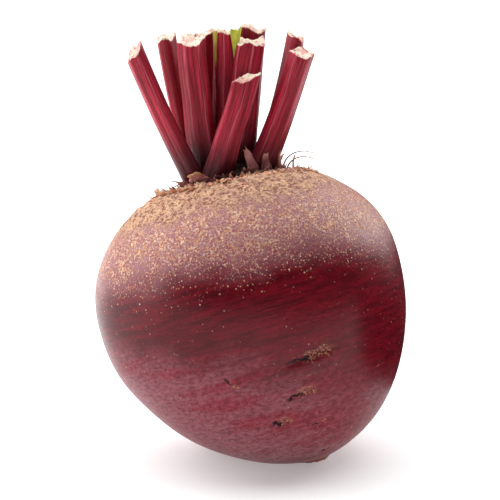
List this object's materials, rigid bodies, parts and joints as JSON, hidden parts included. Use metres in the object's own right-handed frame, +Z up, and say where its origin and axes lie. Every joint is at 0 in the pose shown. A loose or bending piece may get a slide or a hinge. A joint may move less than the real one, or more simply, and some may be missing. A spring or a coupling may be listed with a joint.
{
  "type": "beetroot",
  "caption": "Round beetroot with a corky shoulder, a trimmed tap root and red leaf stalks cut short above the crown, lying on a small flat spot under its side.",
  "frame": {"origin": "on the resting plane, under the middle of the whole object's bounding box", "axes": "+Z up, +X to the right as seen from the front, +Y away from the front; the crown leans 15 degrees to -X and 12 degrees to +Y"},
  "size_m": [0.0812, 0.0792, 0.1115],
  "materials": {
    "root_skin": "satin",
    "stalk": "satin",
    "young_leaf": "matte"
  },
  "bodies": {
    "root": {"root_body": "root_skin", "stem_01": "stalk", "stem_02": "stalk", "stem_03": "stalk", "stem_04": "stalk", "stem_05": "stalk", "stem_06": "stalk", "stem_07": "stalk", "stem_08": "stalk", "stem_09": "stalk", "stem_10": "stalk", "stem_11": "stalk", "stem_12": "stalk", "heart_leaf_1": "young_leaf", "heart_leaf_2": "young_leaf"}
  },
  "joints": []
}
